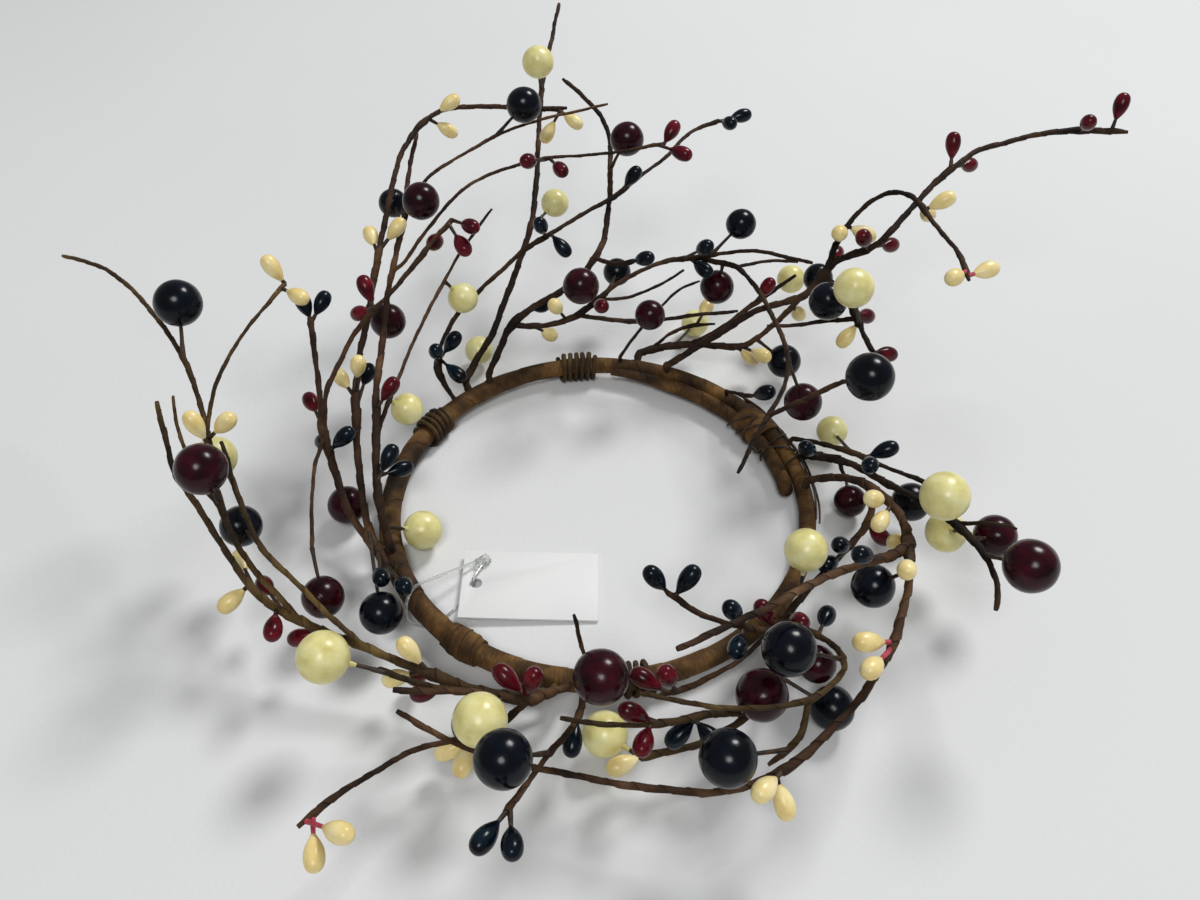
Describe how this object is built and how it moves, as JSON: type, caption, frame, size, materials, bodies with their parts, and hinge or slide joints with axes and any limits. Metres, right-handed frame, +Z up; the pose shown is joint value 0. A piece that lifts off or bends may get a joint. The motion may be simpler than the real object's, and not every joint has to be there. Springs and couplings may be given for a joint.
{
  "type": "candle ring",
  "caption": "Taped wire ring for a pillar candle, ringed by sprays of twigs with lacquered berries and pips, with a blank hang tag on a plastic loop.",
  "frame": {"origin": "centre of the candle opening, on the surface that the ring lies on", "axes": "+Z up along the axis of the candle opening; +Y to the back, away from the hang tag; +X to the right"},
  "size_m": [0.2779, 0.2803, 0.0775],
  "materials": {
    "berry_wire": "brown lacquered wire",
    "binding_wire": "paper covered wire",
    "burgundy_berry": "glossy lacquer",
    "burgundy_pip": "glossy lacquer",
    "collar_tape": "brown crepe paper tape, waxy",
    "cream_berry": "glossy lacquer",
    "cream_pip": "glossy lacquer",
    "hoop_steel": "drawn steel wire",
    "loop_plastic": "clear moulded plastic",
    "navy_berry": "glossy lacquer",
    "navy_pip": "glossy lacquer",
    "ring_tape": "brown crepe paper tape, waxy",
    "stem_tape": "dark brown paper tape over wire",
    "tag_card": "uncoated white card"
  },
  "bodies": {
    "ring": {"back_burgundy_berries": "burgundy_berry", "back_burgundy_pips": "burgundy_pip", "back_cream_berries": "cream_berry", "back_cream_pips": "cream_pip", "back_left_berry_wires": "berry_wire", "back_left_stems": "stem_tape", "back_middle_berry_wires": "berry_wire", "back_middle_stems": "stem_tape", "back_navy_berries": "navy_berry", "back_navy_pips": "navy_pip", "back_right_berry_wires": "berry_wire", "back_right_stems": "stem_tape", "binding_back": "binding_wire", "binding_front": "binding_wire", "binding_left": "binding_wire", "far_right_berry_wires": "berry_wire", "far_right_stems": "stem_tape", "front_berry_wires": "berry_wire", "front_burgundy_berries": "burgundy_berry", "front_burgundy_pips": "burgundy_pip", "front_cream_berries": "cream_berry", "front_cream_pips": "cream_pip", "front_left_berry_wires": "berry_wire", "front_left_stems": "stem_tape", "front_navy_berries": "navy_berry", "front_navy_pips": "navy_pip", "front_right_berry_wires": "berry_wire", "front_right_stems": "stem_tape", "front_stems": "stem_tape", "left_burgundy_berries": "burgundy_berry", "left_burgundy_pips": "burgundy_pip", "left_cream_berries": "cream_berry", "left_cream_pips": "cream_pip", "left_inner_berry_wires": "berry_wire", "left_inner_stems": "stem_tape", "left_navy_berries": "navy_berry", "left_navy_pips": "navy_pip", "left_outer_berry_wires": "berry_wire", "left_outer_stems": "stem_tape", "left_sweep_berry_wires": "berry_wire", "left_sweep_stems": "stem_tape", "overlap_strand": "ring_tape", "right_berry_wires": "berry_wire", "right_burgundy_berries": "burgundy_berry", "right_burgundy_pips": "burgundy_pip", "right_cream_berries": "cream_berry", "right_cream_pips": "cream_pip", "right_navy_berries": "navy_berry", "right_navy_pips": "navy_pip", "right_stems": "stem_tape", "ring_wire": "hoop_steel", "ring_wrap": "ring_tape", "tape_band": "collar_tape", "tape_collar": "collar_tape"},
    "loop": {"tag_loop": "loop_plastic"},
    "tag": {"hang_tag": "tag_card"}
  },
  "joints": [
    {"name": "loop_swing", "type": "hinge", "parent": "ring", "child": "loop", "pos_m": [-0.04119, -0.03335, 0.0043], "axis": [0.6293, -0.7771, 0], "range_deg": [0, 80]},
    {"name": "tag_swivel", "type": "hinge", "parent": "loop", "child": "tag", "pos_m": [-0.03031, -0.02454, 0.0018], "axis": [0, 0, 1], "range_deg": [-20, 20]}
  ]
}
